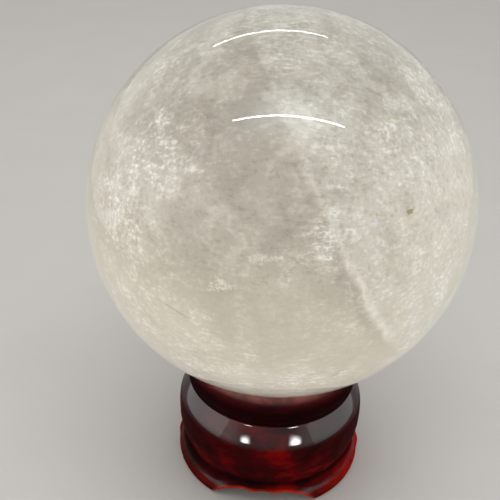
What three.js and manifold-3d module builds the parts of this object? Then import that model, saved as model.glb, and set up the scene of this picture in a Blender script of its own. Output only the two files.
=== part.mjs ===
// Crystal ball on a turned, red-lacquered wooden stand.
//
// Three pieces: a solid quartz ball, a seat ring that carries it, and a footed
// base. The ring has a spigot that is glued into a socket in the base. The ball
// only lies in the ring's seat and lifts straight off.
//
// Millimetres, +Z up. The origin is on the surface that the stand rests on, at
// the middle of the footprint, under the ball's centre. The front is -Y, where
// one of the three openings between the feet is.

import * as THREE from 'three';
import { mergeVertices } from 'three/addons/utils/BufferGeometryUtils.js';
import Module from 'manifold-3d';

// Ball and seat
const BALL_RADIUS = 40;
const BALL_CENTRE_Z = 66.8;
const SEAT_CONTACT_RADIUS = 17;
const SEAT_INNER_RADIUS = 15.8;
const SEAT_OUTER_RADIUS = 18;
const SEAT_CLEARANCE = 0.1;

// Seat ring
const RING_RADIUS = 19.6;
const RING_BOTTOM_Z = 21.8;
const RING_LIP_START_Z = 27.4;
const RING_BORE_RADIUS = 13.2;
const BEAD_GROOVE_DEPTH = 0.4;
const LOWER_GROOVE_Z = 22.7;
const UPPER_GROOVE_Z = 24;
const GROOVE_HALF_WIDTH = 0.3;
const NECK_RADIUS = 19.2;

// Glued joint between the ring and the base
const SPIGOT_RADIUS = 15.5;
const SPIGOT_LENGTH = 5;
const GLUE_GAP = 0.1;
const SOCKET_SIDE_GAP = 0.2;
const SOCKET_FLOOR_GAP = 0.3;

// Base
const SHOULDER_RADIUS = 18.75;
const SHOULDER_EDGE = 0.5;
const BELLY_RADIUS = 21.85;
const BELLY_Z = 13;
const WAIST_RADIUS = 20.8;
const WAIST_Z = 5.6;
const FOOT_RADIUS = 22.1;
const FOOT_RADIUS_Z = 0.9;
const FOOT_EDGE = 0.5;
const WEB_THICKNESS = 5;
const WEB_HOLE_RADIUS = 8;
const HOLLOW_RADIUS = 17.3;
const HOLLOW_CORNER = 1.5;

// Openings between the feet
const FOOT_COUNT = 3;
const OPENING_HALF_WIDTH = 12.2;
const OPENING_HEIGHT = 3.95;
const OPENING_SQUARENESS = 4;
const SCALLOP_DEPTH = 0.15;
const SCALLOP_PITCH = 5.2;
const OPENING_STEPS = 26;

// Facets
const TURN_SEGMENTS = 60;
const BALL_RINGS = 32;
const LIP_STEPS = 7;
const BELLY_STEPS = 20;

const materials = {
  quartz: new THREE.MeshStandardMaterial({ color: 0xc9c6b8, roughness: 0.06, metalness: 0 }),
  ringLacquer: new THREE.MeshStandardMaterial({ color: 0x3c0a0e, roughness: 0.16, metalness: 0 }),
  baseLacquer: new THREE.MeshStandardMaterial({ color: 0x5e0709, roughness: 0.16, metalness: 0 }),
};

const wasm = await Module();
wasm.setup();

function namedMesh(name, geometry, material) {
  const mesh = new THREE.Mesh(geometry, material);
  mesh.name = name;
  return mesh;
}

// Turns a closed outline of [radius, height] points about +Z. The outline runs
// up the outside and down the inside, so that the faces point out.
function turned(outline) {
  const points = outline.map(([radius, height]) => new THREE.Vector2(radius, height));
  points.push(points[0].clone());
  const geometry = new THREE.LatheGeometry(points, TURN_SEGMENTS);
  geometry.rotateX(Math.PI / 2);
  return geometry;
}

function toSolid(geometry) {
  const bare = geometry.clone();
  bare.deleteAttribute('normal');
  bare.deleteAttribute('uv');
  const merged = mergeVertices(bare, 1e-4);
  return new wasm.Manifold(new wasm.Mesh({
    numProp: 3,
    vertProperties: new Float32Array(merged.attributes.position.array),
    triVerts: new Uint32Array(merged.index.array),
  }));
}

function toGeometry(solid) {
  const mesh = solid.getMesh();
  const geometry = new THREE.BufferGeometry();
  geometry.setAttribute('position', new THREE.BufferAttribute(mesh.vertProperties, 3));
  geometry.setIndex(new THREE.BufferAttribute(mesh.triVerts, 1));
  geometry.computeVertexNormals();
  return geometry;
}

// Height of the conical seat at a radius. The cone would touch the ball at the
// contact circle, and is lowered by the seat clearance.
function seatHeight(radius) {
  const drop = Math.sqrt(BALL_RADIUS ** 2 - SEAT_CONTACT_RADIUS ** 2);
  const slope = SEAT_CONTACT_RADIUS / drop;
  const clearance = SEAT_CLEARANCE * BALL_RADIUS / drop;
  return BALL_CENTRE_Z - drop - clearance + slope * (radius - SEAT_CONTACT_RADIUS);
}

function makeBall() {
  const geometry = new THREE.SphereGeometry(BALL_RADIUS, TURN_SEGMENTS, BALL_RINGS);
  geometry.rotateX(Math.PI / 2);
  const ball = namedMesh('crystal_ball', geometry, materials.quartz);
  ball.position.z = BALL_CENTRE_Z;
  return ball;
}

function grooveOutline(height) {
  return [
    [RING_RADIUS, height - GROOVE_HALF_WIDTH],
    [RING_RADIUS - BEAD_GROOVE_DEPTH, height],
    [RING_RADIUS, height + GROOVE_HALF_WIDTH],
  ];
}

// The rounded lip rises from the ring's side to the outer edge of the seat.
function lipOutline() {
  const crestHeight = seatHeight(SEAT_OUTER_RADIUS);
  const lip = new THREE.EllipseCurve(
    SEAT_OUTER_RADIUS, RING_LIP_START_Z,
    RING_RADIUS - SEAT_OUTER_RADIUS, crestHeight - RING_LIP_START_Z,
    0, Math.PI / 2,
  );
  return lip.getPoints(LIP_STEPS).map((point) => [point.x, point.y]);
}

function makeSeatRing() {
  const spigotBottom = RING_BOTTOM_Z - SPIGOT_LENGTH;
  const seatThroat = seatHeight(SEAT_INNER_RADIUS) - (SEAT_INNER_RADIUS - RING_BORE_RADIUS);
  const outline = [
    [RING_BORE_RADIUS, spigotBottom],
    [SPIGOT_RADIUS, spigotBottom],
    [SPIGOT_RADIUS, RING_BOTTOM_Z],
    [NECK_RADIUS, RING_BOTTOM_Z],
    ...grooveOutline(LOWER_GROOVE_Z),
    ...grooveOutline(UPPER_GROOVE_Z),
    ...lipOutline(),
    [SEAT_INNER_RADIUS, seatHeight(SEAT_INNER_RADIUS)],
    [RING_BORE_RADIUS, seatThroat],
  ];
  return namedMesh('seat_ring', turned(outline), materials.ringLacquer);
}

// The outside of the base: a flared foot, a waist, a nearly upright belly, and a
// shoulder that slopes in to the neck.
function bellyOutline() {
  const shoulderZ = RING_BOTTOM_Z - GLUE_GAP - SHOULDER_EDGE;
  const curve = new THREE.SplineCurve([
    new THREE.Vector2(FOOT_RADIUS, FOOT_RADIUS_Z),
    new THREE.Vector2(FOOT_RADIUS - 0.3, 2.5),
    new THREE.Vector2(FOOT_RADIUS - 0.8, 3.4),
    new THREE.Vector2(WAIST_RADIUS, WAIST_Z),
    new THREE.Vector2(BELLY_RADIUS - 0.5, 8.8),
    new THREE.Vector2(BELLY_RADIUS, BELLY_Z),
    new THREE.Vector2(BELLY_RADIUS - 0.1, 15.6),
    new THREE.Vector2(BELLY_RADIUS - 0.6, 17.7),
    new THREE.Vector2(BELLY_RADIUS - 1.7, 19.2),
    new THREE.Vector2(SHOULDER_RADIUS + 0.5, 20.4),
    new THREE.Vector2(SHOULDER_RADIUS, shoulderZ),
  ]);
  return curve.getPoints(BELLY_STEPS).map((point) => [point.x, point.y]);
}

function makeBaseBlank() {
  const topZ = RING_BOTTOM_Z - GLUE_GAP;
  const socketRadius = SPIGOT_RADIUS + SOCKET_SIDE_GAP;
  const socketFloorZ = RING_BOTTOM_Z - SPIGOT_LENGTH - SOCKET_FLOOR_GAP;
  const hollowTopZ = socketFloorZ - WEB_THICKNESS;
  return turned([
    [HOLLOW_RADIUS, 0],
    [FOOT_RADIUS - FOOT_EDGE, 0],
    ...bellyOutline(),
    [SHOULDER_RADIUS - SHOULDER_EDGE, topZ],
    [socketRadius, topZ],
    [socketRadius, socketFloorZ],
    [WEB_HOLE_RADIUS, socketFloorZ],
    [WEB_HOLE_RADIUS, hollowTopZ],
    [HOLLOW_RADIUS - HOLLOW_CORNER, hollowTopZ],
    [HOLLOW_RADIUS, hollowTopZ - HOLLOW_CORNER],
  ]);
}

// Height of an opening's top edge, at a distance across from its middle: a
// flat-topped arch with a shallow scalloped edge.
function openingHeight(across) {
  const share = Math.abs(across) / OPENING_HALF_WIDTH;
  const arch = OPENING_HEIGHT * (1 - share ** OPENING_SQUARENESS);
  const scallop = SCALLOP_DEPTH * Math.cos(2 * Math.PI * across / SCALLOP_PITCH);
  return arch + scallop * (1 - share ** 2);
}

// A straight block with the opening's outline, which cuts through the wall on
// the -Y side only.
function openingCutter() {
  const below = 1;
  const outline = new THREE.Shape();
  outline.moveTo(-OPENING_HALF_WIDTH, -below);
  outline.lineTo(OPENING_HALF_WIDTH, -below);
  for (let step = 0; step <= OPENING_STEPS; step += 1) {
    const across = OPENING_HALF_WIDTH * (1 - 2 * step / OPENING_STEPS);
    outline.lineTo(across, openingHeight(across));
  }
  outline.closePath();

  const innerEnd = Math.sqrt(HOLLOW_RADIUS ** 2 - OPENING_HALF_WIDTH ** 2) - 1;
  const depth = FOOT_RADIUS + 1 - innerEnd;
  const geometry = new THREE.ExtrudeGeometry(outline, { depth, bevelEnabled: false });
  geometry.rotateX(Math.PI / 2);
  geometry.translate(0, -innerEnd, 0);
  return toSolid(geometry);
}

function makeBase() {
  const cutter = openingCutter();
  let solid = toSolid(makeBaseBlank());
  for (let opening = 0; opening < FOOT_COUNT; opening += 1) {
    solid = solid.subtract(cutter.rotate([0, 0, 360 * opening / FOOT_COUNT]));
  }
  return namedMesh('stand_base', toGeometry(solid), materials.baseLacquer);
}

const crystalBallOnStand = new THREE.Group();
crystalBallOnStand.add(makeBall(), makeSeatRing(), makeBase());

export default crystalBallOnStand;
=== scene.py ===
"""Looks of a crystal ball on a small turned and red-lacquered wooden stand.

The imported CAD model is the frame. Everything here is in metres, +Z up, with
the floor at z = 0 and the ball's centre above the origin.
"""

import math

import bmesh
import bpy
import numpy as np
from mathutils import Matrix, Vector


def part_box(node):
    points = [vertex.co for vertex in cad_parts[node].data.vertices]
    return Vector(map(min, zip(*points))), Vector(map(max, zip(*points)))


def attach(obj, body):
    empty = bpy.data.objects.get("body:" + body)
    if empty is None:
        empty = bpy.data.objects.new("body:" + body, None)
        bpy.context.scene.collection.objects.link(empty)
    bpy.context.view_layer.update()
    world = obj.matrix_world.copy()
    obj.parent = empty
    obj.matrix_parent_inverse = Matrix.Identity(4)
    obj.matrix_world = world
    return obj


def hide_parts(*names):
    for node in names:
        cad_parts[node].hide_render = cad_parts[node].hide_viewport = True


MM = 0.001
SEED = 7

# Camera: 56 mm lens on a 36 mm sensor, looking 30.5 degrees down.
LENS = 56.2
SENSOR = 36
CAMERA_TURN = math.radians(3.5)
CAMERA_PITCH = math.radians(30.5)
CAMERA_ROLL = math.radians(1.82)
CAMERA_FROM_BALL = Vector((-6.0, -146.05, 74.54)) * MM

# Quartz ball: the milky core's share of its radius, and how near its middle the
# flakes over the core may lie.
QUARTZ_IOR = 1.544
CORE_SHARE = 0.88
FLAKES_FROM = CORE_SHARE + 0.012

# Seat ring, in mm
SPIGOT_LENGTH = 5.0
SPIGOT_RADIUS = 15.5
RING_BORE = 13.2
SEAT_INNER = 15.8
SEAT_OUTER = 18.0
SEAT_DROP = 0.12
LIP_START_Z = 27.4

# Base and the openings between its feet, in mm
FOOT_WIDEST_Z = 0.9
BASE_EDGE = 0.5
SOCKET_RADIUS = 15.7
SOCKET_FLOOR_Z = 16.5
WEB_THICKNESS = 5.0
WEB_HOLE = 8.0
HOLLOW_RADIUS = 17.3
HOLLOW_CORNER = 1.5
FOOT_COUNT = 3
OPENING_HALF_WIDTH = 12.2
OPENING_HEIGHT = 3.95
OPENING_SQUARENESS = 4
SCALLOP_DEPTH = 0.15
SCALLOP_PITCH = 5.2
OPENING_SECTOR = math.radians(40)

# Mesh fineness
BALL_SUBDIVISIONS = 6
PEBBLE_SUBDIVISIONS = 3
TURN_STEPS = 360
WALL_STEPS = 64
EDGE_STEPS = 7

# Colour of the side lights and of the light from below
WARM = (1.0, 0.985, 0.955)


# ---------------------------------------------------------------- frame


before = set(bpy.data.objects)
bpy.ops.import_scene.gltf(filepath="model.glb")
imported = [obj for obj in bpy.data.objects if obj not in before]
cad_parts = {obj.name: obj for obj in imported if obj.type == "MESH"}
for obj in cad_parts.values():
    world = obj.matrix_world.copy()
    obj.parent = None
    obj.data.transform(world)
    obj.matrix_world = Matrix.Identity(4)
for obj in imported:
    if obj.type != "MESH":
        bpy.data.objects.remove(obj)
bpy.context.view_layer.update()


def node_box(name):
    low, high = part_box(name)
    return Vector(low), Vector(high)


BALL_LOW, BALL_HIGH = node_box("crystal_ball")
BALL_CENTRE = (BALL_LOW + BALL_HIGH) / 2
BALL_RADIUS = (BALL_HIGH.z - BALL_LOW.z) / 2
RING_LOW, RING_HIGH = node_box("seat_ring")
RING_RADIUS = (RING_HIGH.x - RING_LOW.x) / 2
BASE_LOW, BASE_HIGH = node_box("stand_base")
BASE_TOP = BASE_HIGH.z


# ---------------------------------------------------------------- helpers


def link(obj):
    bpy.context.collection.objects.link(obj)
    return obj


def mesh_object(name, vertices, faces, material, smooth=True):
    mesh = bpy.data.meshes.new(name)
    mesh.from_pydata([tuple(v) for v in vertices], [], faces)
    mesh.polygons.foreach_set("use_smooth", [smooth] * len(mesh.polygons))
    mesh.materials.append(material)
    mesh.update()
    return link(bpy.data.objects.new(name, mesh))


def closed_grid(name, columns, material):
    """Skins a closed ring of closed sections. columns is (turns, points, 3)."""
    turns, points = columns.shape[:2]
    vertices = columns.reshape(-1, 3)
    faces = []
    for turn in range(turns):
        after = (turn + 1) % turns
        for point in range(points):
            above = (point + 1) % points
            faces.append((
                turn * points + point,
                after * points + point,
                after * points + above,
                turn * points + above,
            ))
    return mesh_object(name, vertices, faces, material)


def point_values(obj, name, values):
    """Stores one number per vertex, for the materials."""
    attribute = obj.data.attributes.new(name, "FLOAT", "POINT")
    attribute.data.foreach_set("value", np.asarray(values, dtype=np.float32))


def smooth_curve(knots):
    """A function through (x, y) knots, with no overshoot between them."""
    xs, ys = (np.array(k, dtype=float) for k in zip(*knots))
    slopes = np.diff(ys) / np.diff(xs)
    tangents = np.zeros_like(ys)
    inner = slopes[:-1] * slopes[1:] > 0
    tangents[1:-1][inner] = (2 * slopes[:-1] * slopes[1:] / (slopes[:-1] + slopes[1:]))[inner]
    tangents[0], tangents[-1] = slopes[0], slopes[-1]

    def value(x):
        x = np.clip(x, xs[0], xs[-1])
        k = np.clip(np.searchsorted(xs, x) - 1, 0, len(xs) - 2)
        width = xs[k + 1] - xs[k]
        t = (x - xs[k]) / width
        return (
            ys[k] * (1 + 2 * t) * (1 - t) ** 2
            + ys[k + 1] * t ** 2 * (3 - 2 * t)
            + tangents[k] * width * t * (1 - t) ** 2
            - tangents[k + 1] * width * t ** 2 * (1 - t)
        )

    return value


def arc(centre, radius, start, end, steps):
    """Points of an arc in the radius-height plane, angles in degrees."""
    angles = np.radians(np.linspace(start, end, steps))
    return [(centre[0] + radius * math.cos(a), centre[1] + radius * math.sin(a)) for a in angles]


# ---------------------------------------------------------------- materials


class Nodes:
    """Short ways to add nodes to one material."""

    def __init__(self, name):
        self.material = bpy.data.materials.new(name)
        self.material.use_nodes = True
        self.tree = self.material.node_tree
        self.shader = self.tree.nodes["Principled BSDF"]

    def add(self, kind, **settings):
        node = self.tree.nodes.new(kind)
        for key, value in settings.items():
            setattr(node, key, value)
        return node

    def join(self, source, target):
        self.tree.links.new(source, target)

    def feed(self, socket, value):
        if isinstance(value, bpy.types.NodeSocket):
            self.join(value, socket)
        else:
            socket.default_value = value

    def math(self, operation, first, second=0.0, clamp=False):
        node = self.add("ShaderNodeMath", operation=operation, use_clamp=clamp)
        self.feed(node.inputs[0], first)
        self.feed(node.inputs[1], second)
        return node.outputs[0]

    def vector_math(self, operation, first, second):
        node = self.add("ShaderNodeVectorMath", operation=operation)
        self.feed(node.inputs[0], first)
        self.feed(node.inputs[1], second)
        return node.outputs["Value" if operation in ("DOT_PRODUCT", "DISTANCE") else "Vector"]

    def noise(self, vector, scale, detail=3.0, roughness=0.5):
        node = self.add("ShaderNodeTexNoise")
        self.feed(node.inputs["Vector"], vector)
        node.inputs["Scale"].default_value = scale
        node.inputs["Detail"].default_value = detail
        node.inputs["Roughness"].default_value = roughness
        return node.outputs["Fac"]

    def band(self, value, low, high, out_low=0.0, out_high=1.0):
        """A smooth step of value from low to high."""
        node = self.add("ShaderNodeMapRange", interpolation_type="SMOOTHSTEP")
        self.feed(node.inputs["Value"], value)
        node.inputs["From Min"].default_value = low
        node.inputs["From Max"].default_value = high
        node.inputs["To Min"].default_value = out_low
        node.inputs["To Max"].default_value = out_high
        return node.outputs["Result"]

    def mix(self, share, first, second):
        node = self.add("ShaderNodeMix", data_type="RGBA")
        self.feed(node.inputs[0], share)
        self.feed(node.inputs[6], first)
        self.feed(node.inputs[7], second)
        return node.outputs[2]

    def attribute(self, name):
        return self.add("ShaderNodeAttribute", attribute_name=name).outputs["Fac"]

    def bump(self, height, strength, distance):
        node = self.add("ShaderNodeBump")
        self.feed(node.inputs["Height"], height)
        node.inputs["Strength"].default_value = strength
        node.inputs["Distance"].default_value = distance
        self.join(node.outputs["Normal"], self.shader.inputs["Normal"])

    def place(self, centre=(0, 0, 0), scale=(1, 1, 1), turn=(0, 0, 0)):
        """The piece's own coordinates, moved to centre, turned and scaled."""
        coordinates = self.add("ShaderNodeTexCoord").outputs["Object"]
        shifted = self.vector_math("SUBTRACT", coordinates, tuple(centre))
        mapping = self.add("ShaderNodeMapping")
        self.join(shifted, mapping.inputs["Vector"])
        mapping.inputs["Rotation"].default_value = turn
        mapping.inputs["Scale"].default_value = scale
        return mapping.outputs["Vector"]


def rgb(red, green, blue):
    """A colour given as 0-255 screen values."""
    linear = [((c / 255 + 0.055) / 1.055) ** 2.4 for c in (red, green, blue)]
    return (*linear, 1.0)


def polished_quartz():
    made = Nodes("polished_quartz")
    made.shader.inputs["Base Color"].default_value = (1.0, 1.0, 1.0, 1.0)
    made.shader.inputs["Roughness"].default_value = 0.0
    made.shader.inputs["IOR"].default_value = QUARTZ_IOR
    made.shader.inputs["Transmission Weight"].default_value = 1.0
    return made.material


# The healed crack: a plane through the ball, right of its middle, seen almost
# edge-on from the front. Beyond it the quartz is frostier. Its bright line ends
# at a height, which is counted in core radii along a slightly leaning axis.
CRACK_NORMAL = Vector((0.881, 0.143, 0.452)).normalized()
CRACK_OFFSET = 0.227
SEAM_END = 0.02

# Frosty patches and smoky ones: direction from the ball's centre, reach as a
# share of the core's radius, strength.
FROST = (
    ((-0.76, -0.62, 0.20), 0.36, 1.0),
    ((-0.60, -0.60, 0.53), 0.40, 0.45),
    ((-0.68, -0.68, -0.25), 0.34, 0.50),
    ((-0.02, -0.10, 1.00), 0.30, 0.55),
    ((0.77, -0.07, 0.64), 0.42, 0.95),
    ((0.80, -0.59, -0.10), 0.30, 0.65),
    ((0.26, -0.90, 0.345), 0.22, 0.65),
    ((-0.33, -0.88, -0.35), 0.20, 0.35),
    ((0.59, -0.55, 0.59), 0.45, 0.45),
    ((-0.30, -0.76, -0.58), 0.40, 0.55),
    ((0.15, -0.78, -0.60), 0.36, 0.50),
    ((-0.55, -0.70, -0.05), 0.34, 0.40),
    ((-0.20, 0.90, 0.40), 0.45, 0.6),
    ((0.60, 0.70, -0.30), 0.40, 0.5),
    ((-0.75, 0.55, -0.35), 0.40, 0.5),
)
SMOKE = (
    ((-0.10, -0.89, 0.44), 0.54, 0.80),
    ((0.26, -0.945, 0.15), 0.26, 0.45),
    ((-0.20, -0.40, 0.90), 0.26, 0.55),
    ((0.15, 0.85, -0.50), 0.60, 0.5),
    ((-0.85, 0.30, 0.45), 0.40, 0.4),
)

# Bright veils: the ends of each as directions, its swell, its strength. The
# swell is how much longer the way by a point on the rim is, from end to end.
VEILS = (
    ((-0.298, -0.954, 0.035), (-0.154, -0.984, 0.080), 0.012, 0.80),
    ((-0.115, -0.970, 0.213), (0.040, -0.971, 0.228), 0.009, 0.60),
    ((-0.431, -0.742, 0.514), (-0.339, -0.774, 0.535), 0.010, 0.90),
    ((-0.558, -0.590, 0.583), (-0.470, -0.642, 0.606), 0.010, 0.75),
    ((-0.464, -0.795, -0.390), (-0.176, -0.945, -0.275), 0.016, 0.45),
    ((0.723, -0.690, 0.027), (0.769, -0.636, 0.058), 0.012, 0.60),
    ((0.811, -0.561, -0.166), (0.828, -0.557, -0.066), 0.018, 0.65),
    ((-0.860, -0.480, 0.120), (-0.740, -0.640, 0.210), 0.030, 0.55),
)


def milky_quartz():
    """The scattering core: all that lies deep in the ball, painted on it."""
    made = Nodes("milky_quartz")
    unit = 1 / (BALL_RADIUS * CORE_SHARE)
    place = made.place(BALL_CENTRE, (unit, unit, unit))

    def patches(spots):
        total = None
        for direction, reach, strength in spots:
            apart = made.vector_math("DISTANCE", place, tuple(Vector(direction).normalized()))
            here = made.math("MULTIPLY", made.band(apart, reach, 0.0), strength)
            total = here if total is None else made.math("MAXIMUM", total, here)
        return total

    def streaked(turn, scale):
        return made.noise(made.place(BALL_CENTRE, tuple(unit * s for s in scale), turn), 1.0,
                          detail=6, roughness=0.66)

    # Soft clouds, greyer where smoky. Painted light: the core is painted greyer on top and
    # lighter and creamier towards the bottom, for the glow of light scattered down through the stone.
    clouds = made.noise(place, 1.7, detail=3, roughness=0.5)
    height = made.vector_math("DOT_PRODUCT", place, (0.0, -0.30, 0.95))
    painted_glow_below = made.band(height, 0.85, 0.0)
    upper = made.mix(made.band(clouds, 0.36, 0.64), rgb(178, 172, 160), rgb(194, 189, 177))
    lower = made.mix(made.band(clouds, 0.36, 0.64), rgb(208, 202, 188), rgb(218, 213, 200))
    colour = made.mix(painted_glow_below, upper, lower)
    smoke = made.math("MULTIPLY", patches(SMOKE), made.band(clouds, 0.25, 0.75, 1.2, 0.8))
    colour = made.mix(smoke, colour, rgb(203, 196, 185))

    patchy = made.noise(place, 4.4, detail=4, roughness=0.6)
    upper_part = made.band(height, 0.25, 0.65, 0.25, 1.0)
    colour = made.mix(made.math("MULTIPLY", made.band(patchy, 0.50, 0.34, 0.0, 0.26), upper_part),
                      colour, rgb(158, 151, 141))
    colour = made.mix(made.math("MULTIPLY", made.band(patchy, 0.52, 0.66, 0.0, 0.34), upper_part),
                      colour, rgb(240, 237, 227))

    # The crack: a soft bright line, frost beyond it.
    wander = made.math("MULTIPLY", made.math("SUBTRACT", made.noise(place, 8, detail=5), 0.5), 0.055)
    side = made.math("SUBTRACT", made.vector_math("DOT_PRODUCT", place, tuple(CRACK_NORMAL)),
                     CRACK_OFFSET / CORE_SHARE)
    side = made.math("ADD", side, wander)
    upright = streaked((0.0, -0.42, 0.2), (11, 11, 3.2))
    beyond = made.math("MULTIPLY", made.band(side, -0.015, 0.03), made.band(side, 0.75, 0.1, 0.35, 1.0))
    colour = made.mix(made.math("MULTIPLY", beyond, made.band(upright, 0.36, 0.62, 0.25, 0.8)),
                      colour, rgb(220, 217, 207))
    strong = made.math("MAXIMUM", made.band(height, 0.62, 0.42), made.band(height, 0.84, 0.74, 0.0, 0.55))
    seam = made.math("MULTIPLY", made.band(made.math("ABSOLUTE", side), 0.036, 0.0), strong)
    above_end = made.band(height, SEAM_END - 0.15, SEAM_END)
    broken = made.band(made.noise(place, 15, detail=4, roughness=0.65), 0.36, 0.56, 0.45, 1.0)
    seam = made.math("MULTIPLY", seam, broken)
    seam = made.math("MULTIPLY", seam, above_end)
    colour = made.mix(made.math("MULTIPLY", seam, 0.78), colour, rgb(250, 247, 239))
    shadow = made.math("MULTIPLY", made.band(made.math("ABSOLUTE", made.math("ADD", side, 0.05)), 0.06, 0.0),
                       made.band(height, 0.75, 0.40))
    shadow = made.math("MULTIPLY", shadow, above_end)
    colour = made.mix(made.math("MULTIPLY", shadow, 0.26), colour, rgb(150, 143, 136))

    # Frost: fine bright grains, gathered in patches, streaked in places.
    frost = made.math("MAXIMUM", patches(FROST), made.math("MULTIPLY", beyond, 0.28))
    frost = made.math("ADD", frost, made.band(made.noise(place, 3.1, detail=3), 0.5, 0.8, 0.0, 0.5))
    coarse = made.noise(place, 9, detail=5, roughness=0.62)
    fine = made.noise(place, 42, detail=4, roughness=0.7)
    level = streaked((0.2, 0.3, 0.1), (12, 40, 60))
    slant = streaked((0.3, 0.65, -0.4), (14, 52, 52))
    threads = made.mix(made.band(height, -0.1, 0.5), level, slant)
    grains = made.math("ADD", made.math("MULTIPLY", fine, 0.5), made.math("MULTIPLY", threads, 0.5))
    gathered = made.math("MULTIPLY", made.math("ADD", frost, 0.18), made.band(coarse, 0.40, 0.62, 0.15, 1.0))
    bright = made.math("MULTIPLY", made.band(grains, 0.48, 0.60), gathered)
    colour = made.mix(made.math("MULTIPLY", gathered, 0.42), colour, rgb(232, 229, 219))
    colour = made.mix(made.math("MULTIPLY", bright, 1.3, clamp=True), colour, rgb(255, 254, 249))
    dull = made.math("MULTIPLY", made.band(grains, 0.49, 0.38), made.band(coarse, 0.60, 0.42, 0.1, 0.45))
    dull = made.math("MULTIPLY", dull, made.band(height, 0.1, 0.6, 0.30, 1.0))
    colour = made.mix(dull, colour, rgb(152, 146, 136))

    # Wisps: short threads where cracks have healed, gathered in places.
    for turn, scale, width in (((0.3, 0.5, 0.1), 5.5, 0.013), ((0.1, 1.1, 0.4), 10.0, 0.018)):
        stretched = made.place(BALL_CENTRE, (unit, unit, unit * 1.6), turn)
        field = made.noise(stretched, scale, detail=4, roughness=0.5)
        thread = made.band(made.math("ABSOLUTE", made.math("SUBTRACT", field, 0.5)), width, 0.0)
        spread = made.noise(stretched, scale * 1.9, detail=2)
        here = made.math("MULTIPLY", made.band(spread, 0.53, 0.62), made.math("ADD", frost, 0.10, clamp=True))
        colour = made.mix(made.math("MULTIPLY", made.math("MULTIPLY", thread, here), 0.7), colour,
                          rgb(255, 254, 249))

    # Veils: ragged streaks, each the narrow oval round its two ends.
    ragged = made.math("SUBTRACT", made.noise(place, 17, detail=6, roughness=0.7), 0.5)
    ragged = made.math("MULTIPLY", ragged, 0.09)
    for start, end, swell, strength in VEILS:
        start, end = Vector(start).normalized(), Vector(end).normalized()
        reach = made.math("ADD", made.vector_math("DISTANCE", place, tuple(start)),
                          made.vector_math("DISTANCE", place, tuple(end)))
        beside = made.math("SUBTRACT", made.math("ADD", reach, ragged), (end - start).length)
        veil = made.math("MULTIPLY", made.band(beside, 1.3 * swell, -swell),
                         made.band(grains, 0.45, 0.58, 0.20, 1.0))
        colour = made.mix(made.math("MULTIPLY", veil, strength), colour, rgb(255, 253, 245))

    made.join(colour, made.shader.inputs["Base Color"])
    made.shader.inputs["Roughness"].default_value = 0.7
    made.shader.inputs["Specular IOR Level"].default_value = 0.0
    made.shader.inputs["Subsurface Weight"].default_value = 1.0
    made.shader.inputs["Subsurface Radius"].default_value = (1.0, 0.96, 0.88)
    made.shader.inputs["Subsurface Scale"].default_value = 0.05
    return made.material


def flake_material(name, colour):
    """A glossy speck, faintly mottled."""
    made = Nodes(name)
    shade = made.noise(made.place(), 900, detail=2)
    dark = tuple(0.82 * c for c in colour[:3]) + (1.0,)
    made.join(made.mix(shade, dark, colour), made.shader.inputs["Base Color"])
    made.shader.inputs["Roughness"].default_value = 0.3
    return made.material


def lacquer(name, deep, middle, bright, edge):
    """Translucent red lacquer brushed over turned wood, bright red where it is thin.
    Painted shade: one number on the mesh darkens it, to near black in recesses,
    under the base and on the ring's lower band, half way on the base's shoulder,
    and it also marks the dark seam at the neck. The number edge lays on the edge
    colour: orange wear on the base's edges, a painted pinkish-grey sheen on the
    ring's lip. The number shine says how glossy."""
    made = Nodes(name)
    blotches = made.noise(made.place(scale=(70, 70, 95)), 1.0, detail=5, roughness=0.6)
    brushing = made.noise(made.place(scale=(150, 150, 520)), 1.0, detail=5, roughness=0.65)
    share = made.math("ADD", made.math("MULTIPLY", blotches, 0.72), made.math("MULTIPLY", brushing, 0.28))
    colour = made.mix(made.band(share, 0.38, 0.52), deep, middle)
    colour = made.mix(made.band(share, 0.50, 0.66), colour, bright)
    pores = made.noise(made.place(scale=(900, 900, 1500)), 1.0, detail=2)
    colour = made.mix(made.math("MULTIPLY", made.band(pores, 0.66, 0.74), 0.5), colour, rgb(20, 3, 5))
    # Painted shade: near black where the mesh's shade number says.
    colour = made.mix(made.math("MULTIPLY", made.attribute("shade_and_seam"), 0.95), colour, rgb(13, 2, 5))
    patchy = made.band(made.noise(made.place(scale=(260, 260, 260)), 1.0, detail=4), 0.32, 0.62, 0.45, 1.0)
    # Edge colour: orange wear on the base, a painted sheen on the ring's lip.
    colour = made.mix(made.math("MULTIPLY", made.attribute("edge"), patchy), colour, edge)
    made.join(colour, made.shader.inputs["Base Color"])
    made.join(made.band(brushing, 0.3, 0.7, 0.16, 0.26), made.shader.inputs["Roughness"])
    made.join(made.band(made.attribute("shine"), 0.0, 1.0, 0.02, 0.75), made.shader.inputs["Coat Weight"])
    made.shader.inputs["Coat Roughness"].default_value = 0.03
    made.shader.inputs["Specular IOR Level"].default_value = 0.0
    ripple = made.noise(made.place(scale=(300, 300, 620)), 1.0, detail=3, roughness=0.5)
    dents = made.band(made.noise(made.place(scale=(620, 620, 620)), 1.0, detail=1), 0.70, 0.80)
    relief = made.math("SUBTRACT", made.math("ADD", blotches, made.math("MULTIPLY", ripple, 0.30)),
                       made.math("MULTIPLY", dents, 0.12))
    made.bump(relief, 0.30, 0.0004)
    return made.material


# ---------------------------------------------------------------- camera, floor, lights


def make_camera():
    data = bpy.data.cameras.new("camera")
    data.sensor_width = SENSOR
    data.lens = LENS
    camera = link(bpy.data.objects.new("camera", data))
    camera.matrix_world = (
        Matrix.Rotation(CAMERA_TURN, 4, "Z")
        @ Matrix.Translation(CAMERA_FROM_BALL + Vector((0, 0, BALL_CENTRE.z)))
        @ Matrix.Rotation(math.pi / 2 - CAMERA_PITCH, 4, "X")
        @ Matrix.Rotation(CAMERA_ROLL, 4, "Z")
    )
    bpy.context.scene.camera = camera


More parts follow.
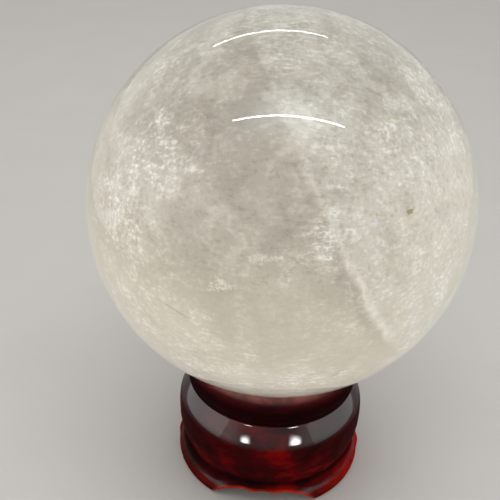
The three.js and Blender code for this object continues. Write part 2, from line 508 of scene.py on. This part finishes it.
def make_floor():
    made = Nodes("floor")
    grain = made.noise(made.place(scale=(35, 35, 35)), 1.0, detail=3)
    made.join(made.mix(grain, rgb(198, 195, 192), rgb(203, 200, 197)), made.shader.inputs["Base Color"])
    made.shader.inputs["Roughness"].default_value = 0.75
    half = 3.0
    floor = mesh_object("floor", [(-half, -half, 0), (half, -half, 0), (half, half, 0), (-half, half, 0)],
                        [(0, 1, 2, 3)], made.material, smooth=False)


def fade_edges(data, soft):
    """Fades a panel's light out over the share soft of each side."""
    data.use_nodes = True
    tree = data.node_tree
    place = tree.nodes.new("ShaderNodeNewGeometry").outputs["Parametric"]
    split = tree.nodes.new("ShaderNodeSeparateXYZ")
    tree.links.new(place, split.inputs["Vector"])
    product = tree.nodes.new("ShaderNodeMath")
    product.operation = "MULTIPLY"
    for factor, axis in enumerate(("X", "Y")):
        far = tree.nodes.new("ShaderNodeMath")
        far.operation = "PINGPONG"
        tree.links.new(split.outputs[axis], far.inputs[0])
        far.inputs[1].default_value = 0.5
        fade = tree.nodes.new("ShaderNodeMapRange")
        fade.interpolation_type = "SMOOTHSTEP"
        tree.links.new(far.outputs[0], fade.inputs["Value"])
        fade.inputs["From Max"].default_value = soft
        tree.links.new(fade.outputs["Result"], product.inputs[factor])
    tree.links.new(product.outputs[0], tree.nodes["Emission"].inputs["Strength"])


def panel_light(name, centre, across, up, radiance, colour=(1.0, 1.0, 1.0), soft=0.0):
    """A flat panel, given by its whole width and height as vectors. It shines
    towards across x up, and soft fades it out over that share of each side."""
    across, up = Vector(across), Vector(up)
    data = bpy.data.lights.new(name, "AREA")
    data.shape = "RECTANGLE"
    data.size, data.size_y = across.length, up.length
    data.energy = radiance * math.pi * across.length * up.length
    data.color = colour
    light = link(bpy.data.objects.new(name, data))
    x, y = across.normalized(), up.normalized()
    light.matrix_world = Matrix.Translation(centre) @ Matrix((x, -y, -x.cross(y))).transposed().to_4x4()
    light.visible_camera = False
    if soft:
        fade_edges(data, soft)
    return light


def make_lights():
    """The lights that fall on all, and those for the whole object, for the
    stand alone and for the ball alone, which are returned in that order."""
    panel_light("strip_front", (0.015, -0.095, 0.35), (0.29, 0.02, 0), (0, -0.004, 0), 40)
    panel_light("strip_back", (-0.052, 0.250, 0.35), (0.263, 0, 0), (0, -0.004, 0), 40)
    panel_light("glow_front", (0.015, -0.100, 0.36), (0.46, 0.03, 0), (0, -0.22, 0), 3.5, (0.90, 0.95, 1.0),
                soft=0.5)
    side_lights = [
        panel_light("side_left", (-0.20, -0.10, 0.13), (0, 0.90, 0), (0, 0, 0.44), 1.25, WARM, soft=0.5),
        panel_light("side_right", (0.22, -0.05, 0.13), (0, -1.00, 0), (0, 0, 0.44), 1.02, WARM, soft=0.5),
    ]
    stand_lights = [
        panel_light("gloss_left", (-0.26, 0.15, 0.21), (0, 0.70, 0), (0, 0, 0.40), 1.4),
        panel_light("gloss_right", (0.26, 0.15, 0.21), (0, -0.70, 0), (0, 0, 0.40), 1.05),
        panel_light("glint_left", (-0.125, -0.27, 0.155), (-0.080, 0, 0), (0, 0.044, 0.066), 55, soft=0.5),
        panel_light("glint_right", (0.172, -0.26, 0.160), (-0.110, 0, 0), (0, 0.051, 0.080), 70, soft=0.5),
    ]
    for light in stand_lights:
        light.visible_diffuse = False
    below = panel_light("bounce_below", (0, 0, 0.003), (0.5, 0, 0), (0, 0.5, 0), 1.15, WARM)
    below.visible_glossy = False
    return side_lights, stand_lights, [below]


def make_world():
    world = bpy.data.worlds.new("studio")
    world.use_nodes = True
    tree = world.node_tree
    background = tree.nodes["Background"]
    direction = tree.nodes.new("ShaderNodeTexCoord").outputs["Generated"]
    split = tree.nodes.new("ShaderNodeSeparateXYZ")
    tree.links.new(direction, split.inputs["Vector"])
    rise = tree.nodes.new("ShaderNodeMapRange")
    rise.interpolation_type = "SMOOTHSTEP"
    tree.links.new(split.outputs["Z"], rise.inputs["Value"])
    rise.inputs["From Min"].default_value = 0.15
    rise.inputs["From Max"].default_value = 1.0
    rise.inputs["To Min"].default_value = 0.70
    rise.inputs["To Max"].default_value = 0.72
    tree.links.new(rise.outputs["Result"], background.inputs["Strength"])
    background.inputs["Color"].default_value = (1.0, 0.99, 0.965, 1.0)
    bpy.context.scene.world = world
    bpy.context.scene.view_settings.view_transform = "Standard"


# ---------------------------------------------------------------- ball


def from_bmesh(name, shape, material):
    mesh = bpy.data.meshes.new(name)
    shape.to_mesh(mesh)
    shape.free()
    mesh.polygons.foreach_set("use_smooth", [True] * len(mesh.polygons))
    mesh.materials.append(material)
    return link(bpy.data.objects.new(name, mesh))


def sphere(name, radius, material):
    shape = bmesh.new()
    bmesh.ops.create_icosphere(shape, subdivisions=BALL_SUBDIVISIONS, radius=radius,
                               matrix=Matrix.Translation(BALL_CENTRE))
    return from_bmesh(name, shape, material)


# Frost flakes just over the milky core: where a trail of them starts and ends,
# as directions from the ball's centre, how many, their size and spread in mm.
TRAILS = (
    ((-0.298, -0.954, 0.035), (-0.154, -0.984, 0.080), 70, 0.22, 0.35),
    ((-0.115, -0.970, 0.213), (0.040, -0.971, 0.228), 55, 0.15, 0.40),
    ((-0.464, -0.795, -0.390), (-0.176, -0.945, -0.275), 80, 0.16, 0.60),
    ((-0.431, -0.742, 0.514), (-0.339, -0.774, 0.535), 40, 0.20, 0.40),
    ((-0.319, -0.762, 0.564), (-0.244, -0.772, 0.587), 20, 0.14, 0.20),
    ((-0.558, -0.590, 0.583), (-0.470, -0.642, 0.606), 38, 0.16, 0.50),
    ((-0.639, -0.439, 0.631), (-0.531, -0.554, 0.642), 30, 0.13, 0.20),
    ((-0.321, -0.047, 0.946), (-0.255, -0.052, 0.966), 26, 0.30, 0.25),
    ((-0.235, -0.010, 0.972), (-0.060, 0.036, 0.997), 60, 0.20, 0.80),
    ((0.363, -0.242, 0.900), (0.522, -0.172, 0.835), 60, 0.18, 0.80),
    ((0.716, -0.152, 0.681), (0.782, -0.136, 0.608), 60, 0.24, 0.80),
    ((0.663, -0.422, 0.618), (0.710, -0.411, 0.571), 24, 0.16, 0.30),
    ((0.653, -0.616, 0.441), (0.769, -0.495, 0.404), 24, 0.13, 0.15),
    ((0.213, -0.864, 0.457), (0.261, -0.887, 0.381), 60, 0.17, 0.90),
    ((0.236, -0.898, 0.370), (0.307, -0.907, 0.287), 70, 0.20, 0.80),
    ((0.723, -0.690, 0.027), (0.769, -0.636, 0.058), 40, 0.20, 0.50),
    ((0.811, -0.561, -0.166), (0.828, -0.557, -0.066), 50, 0.20, 0.60),
    ((0.439, -0.870, 0.225), (0.459, -0.853, 0.248), 26, 0.17, 0.40),
    ((0.153, -0.985, -0.079), (0.198, -0.977, -0.081), 16, 0.15, 0.15),
    ((-0.880, -0.450, 0.120), (-0.680, -0.700, 0.230), 240, 0.24, 2.2),
    ((-0.860, -0.440, 0.260), (-0.660, -0.660, 0.350), 90, 0.14, 2.4),
    ((0.780, -0.560, 0.250), (0.860, -0.460, 0.120), 80, 0.14, 2.0),
    ((0.430, -0.100, 0.900), (0.620, -0.300, 0.720), 90, 0.14, 2.2),
    ((-0.300, 0.900, 0.300), (0.200, 0.950, 0.250), 120, 0.18, 2.4),
    ((0.700, 0.600, -0.350), (0.850, 0.400, 0.100), 110, 0.18, 2.2),
    ((-0.800, 0.450, -0.300), (-0.550, 0.800, 0.050), 110, 0.18, 2.2),
)
LOOSE_FLAKES = 260


def flake_spots(random):
    """Each flake's place, in ball radii from the centre, and its length in mm."""
    for start, end, count, size, spread in TRAILS:
        start, end = Vector(start).normalized(), Vector(end).normalized()
        for _ in range(count):
            along = start.lerp(end, random.beta(1.6, 1.6))
            stray = Vector(random.normal(size=3)) * spread * MM * 0.5 / BALL_RADIUS
            depth = FLAKES_FROM + abs(random.normal()) * 0.022
            yield (along.normalized() + stray).normalized() * depth, size * random.uniform(0.6, 2.0)
    for _ in range(LOOSE_FLAKES):
        direction = Vector(random.normal(size=3)).normalized()
        yield direction * random.uniform(FLAKES_FROM, 0.97), random.uniform(0.04, 0.13)


def make_flakes():
    """Tiny bright flakes, each a closed double pyramid."""
    random = np.random.default_rng(SEED)
    vertices, faces = [], []
    for spot, size in flake_spots(random):
        length = size * MM * 0.5
        width = length * random.uniform(0.35, 0.8)
        place = BALL_CENTRE + spot * BALL_RADIUS
        axes = Matrix.Rotation(random.uniform(0, math.tau), 3, Vector(random.normal(size=3)).normalized())
        start = len(vertices)
        for offset in ((1, 0, 0), (0, 1, 0), (-1, 0, 0), (0, -1, 0), (0, 0, 1), (0, 0, -1)):
            local = Vector((offset[0] * length, offset[1] * width, offset[2] * width * 0.5))
            vertices.append(place + axes @ local)
        for k in range(4):
            after = (k + 1) % 4
            faces.append((start + k, start + after, start + 4))
            faces.append((start + after, start + k, start + 5))
    return mesh_object("bright_flakes", vertices, faces, flake_material("bright_flake", rgb(255, 255, 253)),
                       smooth=False)


def pebble(name, direction, depth, size, material, random, uneven=0.25):
    """A small uneven lump inside the ball, size in mm along its three axes."""
    shape = bmesh.new()
    bmesh.ops.create_icosphere(shape, subdivisions=PEBBLE_SUBDIVISIONS, radius=1.0)
    outward = Vector(direction).normalized()
    turn = outward.to_track_quat("Z", "Y").to_matrix()
    phases = random.uniform(0, math.tau, 6)
    for vertex in shape.verts:
        x, y, z = vertex.co
        swell = 1 + uneven * (math.sin(3 * x + phases[0]) * math.cos(4 * y + phases[1])
                              + 0.5 * math.sin(7 * y + phases[2]) * math.sin(6 * x + phases[3]))
        local = Vector((x * size[0], y * size[1], z * size[2])) * swell * 0.5 * MM
        vertex.co = BALL_CENTRE + outward * depth * BALL_RADIUS + turn @ local
    return from_bmesh(name, shape, material)


def hairline(name, directions, depth, radius, material, random):
    """A hair-thin dark line through the directions, as a closed tapering tube."""
    knots = [Vector(d).normalized() for d in directions]
    count, sides = 40, 6
    vertices, faces = [], []
    for k in range(count + 1):
        share = k / count * (len(knots) - 1)
        first = min(int(share), len(knots) - 2)
        spot = knots[first].lerp(knots[first + 1], share - first).normalized()
        spot = (spot + Vector(random.normal(size=3)) * 0.0016).normalized()
        along = (knots[-1] - knots[0]).normalized()
        across = spot.cross(along).normalized()
        thick = radius * MM * max(math.sin(math.pi * (0.04 + 0.92 * k / count)), 0.1) ** 0.7
        for side in range(sides):
            angle = math.tau * side / sides
            vertices.append(BALL_CENTRE + spot * depth * BALL_RADIUS
                            + thick * (math.cos(angle) * across + math.sin(angle) * spot))
    for k in range(count):
        for side in range(sides):
            after = (side + 1) % sides
            faces.append((
                k * sides + side,
                k * sides + after,
                (k + 1) * sides + after,
                (k + 1) * sides + side,
            ))
    faces.append(tuple(reversed(range(sides))))
    faces.append(tuple(count * sides + side for side in range(sides)))
    return mesh_object(name, vertices, faces, material)


def make_inclusions():
    random = np.random.default_rng(SEED + 1)
    # Painted reflection: the air bubble's bright shine is painted as a near-white colour on a solid lump.
    painted_bubble_shine = flake_material("bubble_painted_shine", rgb(250, 252, 255))
    yellow = flake_material("yellow_speck", rgb(240, 222, 120))
    olive = flake_material("olive_speck", rgb(164, 152, 74))
    dark = flake_material("hairline_shade", rgb(128, 118, 104))
    return [
        pebble("small_bubble", (0.436, -0.826, 0.356), 0.915, (1.3, 1.3, 1.1), painted_bubble_shine, random, 0.03),
        pebble("yellow_speck", (0.474, -0.512, 0.716), 0.92, (0.80, 0.32, 0.2), yellow, random),
        pebble("olive_speck", (0.593, -0.718, 0.364), 0.91, (1.35, 0.80, 0.3), olive, random, 0.35),
        hairline("hairline_left",
                 ((-0.511, -0.857, -0.059), (-0.416, -0.905, -0.088), (-0.323, -0.938, -0.121)),
                 0.985, 0.045, dark, random),
        hairline("hairline_low",
                 ((0.350, -0.850, -0.375), (0.314, -0.851, -0.422), (0.285, -0.838, -0.460)),
                 0.985, 0.05, dark, random),
    ]


def make_ball():
    surface = sphere("polished_ball", BALL_RADIUS, polished_quartz())
    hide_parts("crystal_ball")
    core = sphere("milky_core", BALL_RADIUS * CORE_SHARE, milky_quartz())
    pieces = (surface, core, make_flakes(), *make_inclusions())
    for piece in pieces:
        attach(piece, "ball")
    return pieces


# ---------------------------------------------------------------- stand


def turned_columns(outline):
    """Turns a closed outline of (radius, height) in mm about +Z, in metres."""
    outline = np.array(outline) * MM
    angles = np.linspace(0, 2 * math.pi, TURN_STEPS, endpoint=False)
    columns = np.empty((TURN_STEPS, len(outline), 3))
    columns[:, :, 0] = np.outer(np.cos(angles), outline[:, 0])
    columns[:, :, 1] = np.outer(np.sin(angles), outline[:, 0])
    columns[:, :, 2] = outline[:, 1]
    return columns


def resample(outline, step):
    """Adds points along the straight stretches of a closed outline."""
    dense = []
    for (r0, z0), (r1, z1) in zip(outline, outline[1:] + outline[:1]):
        pieces = max(1, int(math.hypot(r1 - r0, z1 - z0) / step))
        dense += [(r0 + (r1 - r0) * k / pieces, z0 + (z1 - z0) * k / pieces) for k in range(pieces)]
    return dense


def groove(height, depth, half_width, radius):
    """A round-bottomed groove turned into a cylinder of the radius."""
    steps = np.linspace(-1, 1, 9)
    return [(radius - depth * math.cos(s * math.pi / 2) ** 2, height + s * half_width) for s in steps]


def seat_height(radius):
    """The dished seat follows the ball, a hair below it. All in mm."""
    return BALL_CENTRE.z / MM - math.sqrt((BALL_RADIUS / MM) ** 2 - radius ** 2) - SEAT_DROP


def ring_outline():
    """The spigot, the neck, two grooves, the lip, the seat and the throat."""
    bottom = RING_LOW.z / MM
    radius = RING_RADIUS / MM
    neck = bottom + SPIGOT_LENGTH
    crest = seat_height(SEAT_OUTER)
    lip = [
        (SEAT_OUTER + (radius - SEAT_OUTER) * math.cos(t), LIP_START_Z + (crest - LIP_START_Z) * math.sin(t))
        for t in np.radians(np.linspace(0, 84, 16))
    ]
    dish = [(r, seat_height(r)) for r in np.linspace(SEAT_OUTER - 0.15, SEAT_INNER, 8)]
    throat = arc((RING_BORE + 1.4, dish[-1][1] - 1.6), 1.4, 100, 180, 7)
    return [
        (RING_BORE, bottom), (SPIGOT_RADIUS - 0.3, bottom), (SPIGOT_RADIUS, bottom + 0.3),
        (SPIGOT_RADIUS, neck), (radius - 0.7, neck), (radius - 0.45, neck + 0.12),
        *groove(22.7, 0.42, 0.38, radius - 0.05),
        *groove(24.0, 0.36, 0.36, radius),
        *lip, *dish, *throat,
    ]


def make_ring():
    columns = turned_columns(resample(ring_outline(), 0.45))
    # The last colour is the ring lip's painted pinkish-grey sheen.
    material = lacquer("ring_lacquer", rgb(38, 4, 7), rgb(66, 5, 8), rgb(108, 10, 9), rgb(158, 92, 80))
    ring = closed_grid("seat_ring_turned", columns, material)
    heights = columns[:, :, 2].ravel() / MM
    radii = np.hypot(columns[:, :, 0], columns[:, :, 1]).ravel() / MM
    # Painted shade: the ring's lower band and its grooves are darkened, for the shade and dark reflection
    # there.
    low_band = np.clip((28.4 - heights) / 2.6, 0, 1)
    in_groove = np.clip((RING_RADIUS / MM - 0.06 - radii) / 0.3, 0, 1) * (heights < 25)
    shade_and_seam = np.maximum(low_band * 0.92, in_groove)
    point_values(ring, "shade_and_seam", shade_and_seam)
    point_values(ring, "shine", (0.25 + 0.75 * np.clip((heights - 28.0) / 1.5, 0, 1)) * (1 - shade_and_seam))
    # Painted sheen: the lip's top takes the edge colour, for the reflection of the ball and the room in its
    # gloss.
    point_values(ring, "edge", np.clip((heights - 28.4) / 1.2, 0, 1) * 0.60)
    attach(ring, "stand")
    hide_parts("seat_ring")
    return ring


def belly_radius():
    """The outside of the base: its radius by height, both in mm."""
    foot = (BASE_HIGH.x - BASE_LOW.x) / 2 / MM
    return smooth_curve([
        (0.0, foot - 0.25), (FOOT_WIDEST_Z, foot), (1.8, foot - 0.05), (2.5, foot - 0.3), (3.3, foot - 0.76),
        (4.1, foot - 1.13), (5.0, foot - 1.31), (5.8, foot - 1.34), (7.2, foot - 1.1), (8.8, foot - 0.74),
        (10.4, foot - 0.45), (12.0, foot - 0.28), (14.2, foot - 0.25), (15.8, foot - 0.34),
        (16.9, foot - 0.52), (17.7, foot - 0.86), (18.5, foot - 1.40), (19.4, foot - 2.10),
        (20.4, foot - 2.94), (21.2, foot - 3.65),
    ])


def opening_height(across):
    """Height of an opening's top edge at a distance across from its middle."""
    share = np.minimum(np.abs(across) / OPENING_HALF_WIDTH, 1)
    arch = OPENING_HEIGHT * (1 - share ** OPENING_SQUARENESS)
    scallop = SCALLOP_DEPTH * np.cos(2 * math.pi * across / SCALLOP_PITCH)
    return np.maximum(arch + scallop * (1 - share ** 2), 0)


def from_opening(angles):
    """Each angle as the turn away from the nearest opening's middle."""
    sector = 2 * math.pi / FOOT_COUNT
    return (angles + math.pi / 2 + sector / 2) % sector - sector / 2


def base_section(outside, bottom):
    """The base's section where its wall ends at the height bottom."""
    top = BASE_TOP / MM
    heights = np.linspace(bottom + BASE_EDGE, top - BASE_EDGE, WALL_STEPS)
    lip = 0.5 * min(bottom / 2.0, 1.0) * np.exp(-((heights - bottom - BASE_EDGE) / 1.1) ** 2)
    wall = list(zip(outside(heights) + lip, heights))
    web_top, web_bottom = SOCKET_FLOOR_Z, SOCKET_FLOOR_Z - WEB_THICKNESS
    corner = (HOLLOW_RADIUS - HOLLOW_CORNER, web_bottom - HOLLOW_CORNER)
    return np.array(
        arc((wall[0][0] - BASE_EDGE, bottom + BASE_EDGE), BASE_EDGE, -90, 0, EDGE_STEPS)[:-1]
        + wall
        + arc((wall[-1][0] - BASE_EDGE, top - BASE_EDGE), BASE_EDGE, 0, 90, EDGE_STEPS)[1:]
        + [(SOCKET_RADIUS + 0.3, top), (SOCKET_RADIUS, top - 0.3), (SOCKET_RADIUS, web_top),
           (WEB_HOLE, web_top), (WEB_HOLE, web_bottom), (HOLLOW_RADIUS - HOLLOW_CORNER, web_bottom)]
        + arc(corner, HOLLOW_CORNER, 90, 0, 6)[1:]
        + arc((HOLLOW_RADIUS + BASE_EDGE, bottom + BASE_EDGE), BASE_EDGE, 180, 270, EDGE_STEPS)
    )


def base_paint(section, bottom):
    """The lacquer's numbers along one section: painted shade with the dark seam, shine and edge."""
    radii, heights = section[:, 0], section[:, 1]
    top = BASE_TOP / MM
    inner = (radii < HOLLOW_RADIUS + 0.4) & (heights < top - 0.5)
    # Painted shade: dark under the base and in the waist's recess; the top 0.4 mm is the dark seam at the
    # neck.
    waist = np.exp(-((heights - 6.1) / 1.25) ** 2) * np.clip((heights - bottom - 1.0) / 1.5, 0, 1)
    neck = np.clip((heights - (top - 0.5)) / 0.4, 0, 1)
    dark = np.where(inner, 1.0, np.maximum(waist * 0.9, neck))
    shoulder = np.clip((heights - 16.6) / 1.6, 0, 1)
    flare_top = np.clip(1 - np.abs(heights - 3.3) / 0.9, 0, 1)
    raised = np.maximum(0.8 * shoulder, 0.5 * flare_top)
    rim = np.clip(1 - np.abs(heights - bottom - 0.45) / 0.6, 0, 1) * min(0.14 + bottom / 2.5, 1.0)
    flare = 0.20 * np.clip(1 - np.abs(heights - 1.9) / 1.4, 0, 1)
    # Half painted shade on the shoulder, for the dark reflection there.
    shade_and_seam = np.maximum(dark, 0.5 * shoulder)
    shine = (0.14 + 0.86 * raised) * (1 - dark)
    edge = np.where(inner, 0.0, np.maximum(rim, flare))
    return shade_and_seam, shine, edge


def make_base():
    angles = np.linspace(0, 2 * math.pi, TURN_STEPS, endpoint=False)
    outside = belly_radius()
    foot = outside(np.array([FOOT_WIDEST_Z]))[0]
    columns, paint = [], []
    for angle, turn in zip(angles, from_opening(angles)):
        by_opening = np.abs(turn) < OPENING_SECTOR
        bottom = float(opening_height(foot * math.sin(turn))) if by_opening else 0.0
        section = base_section(outside, bottom)
        columns.append(np.stack([
            section[:, 0] * math.cos(angle), section[:, 0] * math.sin(angle), section[:, 1],
        ], axis=-1) * MM)
        paint.append(base_paint(section, bottom))
    material = lacquer("base_lacquer", rgb(27, 1, 4), rgb(53, 2, 5), rgb(120, 4, 4), rgb(190, 40, 12))
    base = closed_grid("stand_base_carved", np.array(columns), material)
    for name, values in zip(("shade_and_seam", "shine", "edge"), np.swapaxes(paint, 0, 1)):
        point_values(base, name, values.ravel())
    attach(base, "stand")
    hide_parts("stand_base")
    return base


def light_only(name, lights, pieces):
    """Lets these lights fall on these pieces alone."""
    lit = bpy.data.collections.new(name)
    for piece in pieces:
        lit.objects.link(piece)
    for light in lights:
        light.light_linking.receiver_collection = lit


make_camera()
make_floor()
side_lights, stand_lights, ball_lights = make_lights()
make_world()
ball = make_ball()
stand = (make_ring(), make_base())
light_only("lit_object", side_lights, (*ball, *stand))
light_only("lit_ball", ball_lights, ball)
light_only("lit_stand", stand_lights, stand)
